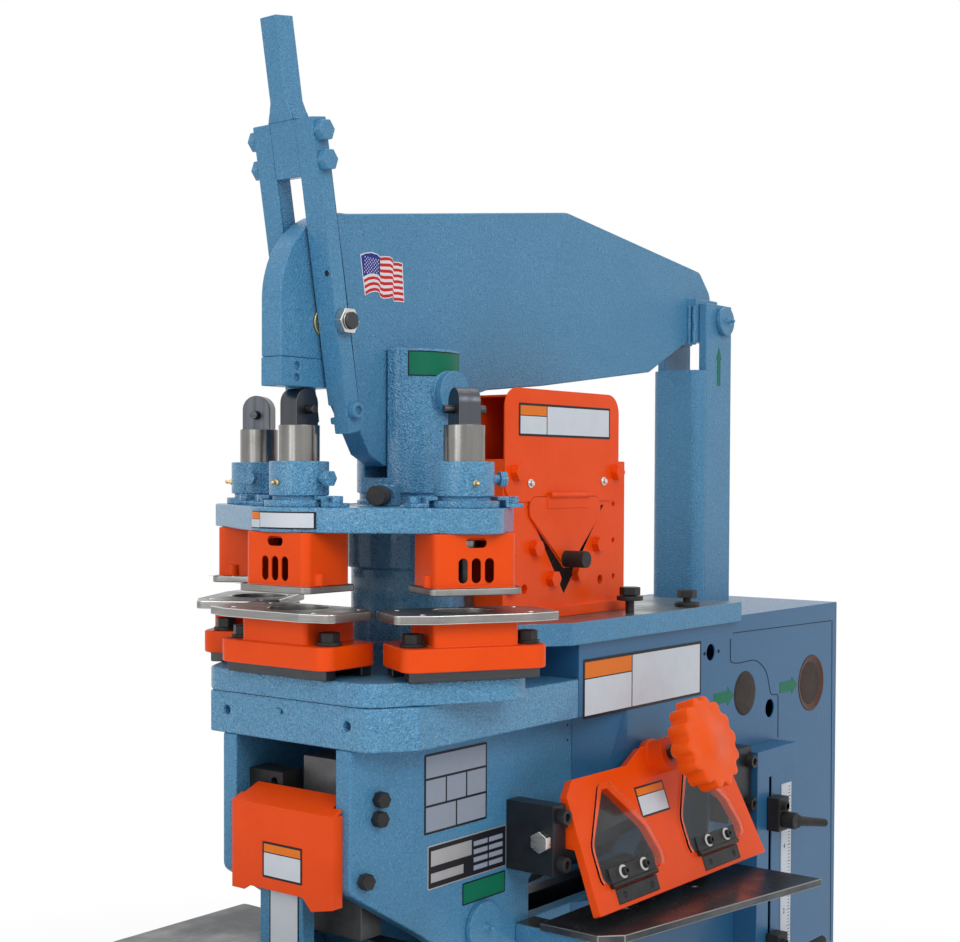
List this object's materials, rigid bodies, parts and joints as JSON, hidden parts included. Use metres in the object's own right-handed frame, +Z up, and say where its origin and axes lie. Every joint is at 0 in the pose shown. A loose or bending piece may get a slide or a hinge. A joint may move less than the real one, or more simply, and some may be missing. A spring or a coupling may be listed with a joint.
{
  "type": "hydraulic ironworker machine",
  "caption": "Hydraulic ironworker with a turning punch turret on a round column, a rocking arm, a notcher, an angle shear and a flat-bar shear.",
  "frame": {"origin": "on the floor, under the axis of the turret column", "axes": "+X towards the rear cabinet, -X the punching and notching end, -Y the shear side where the operator stands, +Z up"},
  "size_m": [1.26, 0.6057, 1.7391],
  "materials": {
    "blue_paint": "hammertone gloss",
    "orange_paint": "satin",
    "grey_paint": "worn satin",
    "steel": "ground",
    "chrome": "hard chrome",
    "black_steel": "black oxide",
    "rubber": "matt",
    "clear_plastic": "clear"
  },
  "bodies": {
    "frame": {"base_plate": "blue_paint", "side_plates": "blue_paint", "bolster": "blue_paint", "column": "blue_paint", "casing": "blue_paint", "top_table": "grey_paint", "cross_beam": "blue_paint", "cylinder_barrel": "black_steel", "power_unit": "black_steel", "notcher_post": "blue_paint", "notcher_table": "steel", "notcher_guard": "orange_paint", "guide_block": "black_steel", "shear_blocks": "black_steel", "feed_table": "steel", "upper_blade": "steel", "angle_body": "orange_paint", "angle_guard": "orange_paint", "angle_bolts": "orange_paint", "switch_box": "blue_paint", "cabinet_plugs": "rubber", "frame_bolts": "black_steel", "pivot_pins": "blue_paint"},
    "arm": {"arm": "blue_paint", "nose_insert": "blue_paint", "yoke_stud": "steel"},
    "yoke": {"yoke_straps": "blue_paint", "yoke_handle": "blue_paint", "yoke_bolts": "blue_paint"},
    "link": {"link_plates": "blue_paint", "link_cover": "blue_paint", "link_pins": "blue_paint"},
    "beam": {"beam": "blue_paint", "notcher_punch": "steel", "lower_blade": "steel"},
    "rod": {"cylinder_rod": "chrome"},
    "angle_blade": {"angle_blade": "steel"},
    "angle_flap": {"angle_flap": "orange_paint"},
    "hold_down": {"hold_down": "orange_paint"},
    "screw": {"clamp_screw": "steel"},
    "handwheel": {"handwheel": "orange_paint"},
    "left_flap": {"left_flap": "clear_plastic"},
    "right_flap": {"right_flap": "clear_plastic"},
    "upper_clamp": {"upper_clamp": "black_steel"},
    "lower_clamp": {"lower_clamp": "black_steel"},
    "upper_lever": {"upper_lever": "black_steel"},
    "lower_lever": {"lower_lever": "black_steel"},
    "turret": {"upper_turret_plate": "blue_paint", "lower_turret_plate": "blue_paint", "ram_housings": "blue_paint", "turret_bolts": "blue_paint", "strippers": "orange_paint", "die_tables": "steel", "die_holders": "orange_paint"},
    "plunger": {"index_plunger": "black_steel"},
    "front_ram": {"front_ram": "steel"},
    "left_ram": {"left_ram": "steel"},
    "right_ram": {"right_ram": "steel"}
  },
  "joints": [
    {"name": "arm_rock", "type": "hinge", "parent": "frame", "child": "arm", "pos_m": [0, 0, 1.316], "axis": [0, -1, 0], "range_deg": [0, 8.3]},
    {"name": "yoke_swing", "type": "hinge", "parent": "arm", "child": "yoke", "pos_m": [-0.172, 0, 1.393], "axis": [0, 1, 0], "range_deg": [0, 22.5]},
    {"name": "link_swing", "type": "hinge", "parent": "arm", "child": "link", "pos_m": [0.724, 0, 1.466], "axis": [0, 1, 0], "range_deg": [-0.5, 8.8]},
    {"name": "beam_rock", "type": "hinge", "parent": "frame", "child": "beam", "pos_m": [0, 0, 0.662], "axis": [0, -1, 0], "range_deg": [-0.5, 8.8]},
    {"name": "cylinder_stroke", "type": "slide", "parent": "frame", "child": "rod", "axis": [0, 0, 1], "range_m": [-0.004, 0.085]},
    {"name": "angle_blade_lift", "type": "slide", "parent": "frame", "child": "angle_blade", "axis": [0, 0, 1], "range_m": [-0.002, 0.032]},
    {"name": "front_ram_stroke", "type": "slide", "parent": "turret", "child": "front_ram", "axis": [0, 0, -1], "range_m": [-0.002, 0.03]},
    {"name": "left_ram_stroke", "type": "slide", "parent": "turret", "child": "left_ram", "axis": [0, 0, -1], "range_m": [0, 0.028]},
    {"name": "right_ram_stroke", "type": "slide", "parent": "turret", "child": "right_ram", "axis": [0, 0, -1], "range_m": [0, 0.028]},
    {"name": "turret_turn", "type": "hinge", "parent": "frame", "child": "turret", "pos_m": [0, 0, 0.97], "axis": [0, 0, 1], "range_deg": [-60, 25]},
    {"name": "index_pull", "type": "slide", "parent": "turret", "child": "plunger", "axis": [-0.8988, -0.4384, 0], "range_m": [0, 0.008]},
    {"name": "hold_down_press", "type": "hinge", "parent": "frame", "child": "hold_down", "pos_m": [0.285, -0.178, 0.766], "axis": [1, 0, 0], "range_deg": [-0.5, 12.5]},
    {"name": "screw_feed", "type": "slide", "parent": "hold_down", "child": "screw", "axis": [0, 0.9397, -0.342], "range_m": [-0.0005, 0.0165]},
    {"name": "handwheel_turn", "type": "hinge", "parent": "screw", "child": "handwheel", "pos_m": [0.3, -0.25855, 0.86187], "axis": [0, -0.9397, 0.342], "range_deg": [0, 720]},
    {"name": "left_flap_swing", "type": "hinge", "parent": "hold_down", "child": "left_flap", "pos_m": [0.166, -0.23749, 0.70629], "axis": [1, 0, 0], "range_deg": [0, 70]},
    {"name": "right_flap_swing", "type": "hinge", "parent": "hold_down", "child": "right_flap", "pos_m": [0.38, -0.23749, 0.70629], "axis": [1, 0, 0], "range_deg": [0, 70]},
    {"name": "angle_flap_swing", "type": "hinge", "parent": "frame", "child": "angle_flap", "pos_m": [0.195, -0.115, 1.1905], "axis": [-1, 0, 0], "range_deg": [0, 75]},
    {"name": "upper_clamp_slide", "type": "slide", "parent": "frame", "child": "upper_clamp", "axis": [0, 0, -1], "range_m": [0, 0.07]},
    {"name": "lower_clamp_slide", "type": "slide", "parent": "frame", "child": "lower_clamp", "axis": [0, 0, 1], "range_m": [0, 0.07]},
    {"name": "upper_lever_turn", "type": "hinge", "parent": "upper_clamp", "child": "upper_lever", "pos_m": [0.606, -0.222, 0.703], "axis": [0, -1, 0], "range_deg": [0, 90]},
    {"name": "lower_lever_turn", "type": "hinge", "parent": "lower_clamp", "child": "lower_lever", "pos_m": [0.606, -0.222, 0.497], "axis": [0, -1, 0], "range_deg": [0, 90]}
  ],
  "couplings": [
    {"joint": "link_swing", "follows": "arm_rock", "ratio": 1},
    {"joint": "beam_rock", "follows": "arm_rock", "ratio": 1},
    {"joint": "cylinder_stroke", "follows": "arm_rock", "m_per_rad": 0.55951},
    {"joint": "angle_blade_lift", "follows": "arm_rock", "m_per_rad": 0.2},
    {"joint": "front_ram_stroke", "follows": "arm_rock", "m_per_rad": 0.195},
    {"joint": "hold_down_press", "follows": "handwheel_turn", "ratio": 0.016667},
    {"joint": "screw_feed", "follows": "handwheel_turn", "m_per_rad": 0.001154}
  ]
}
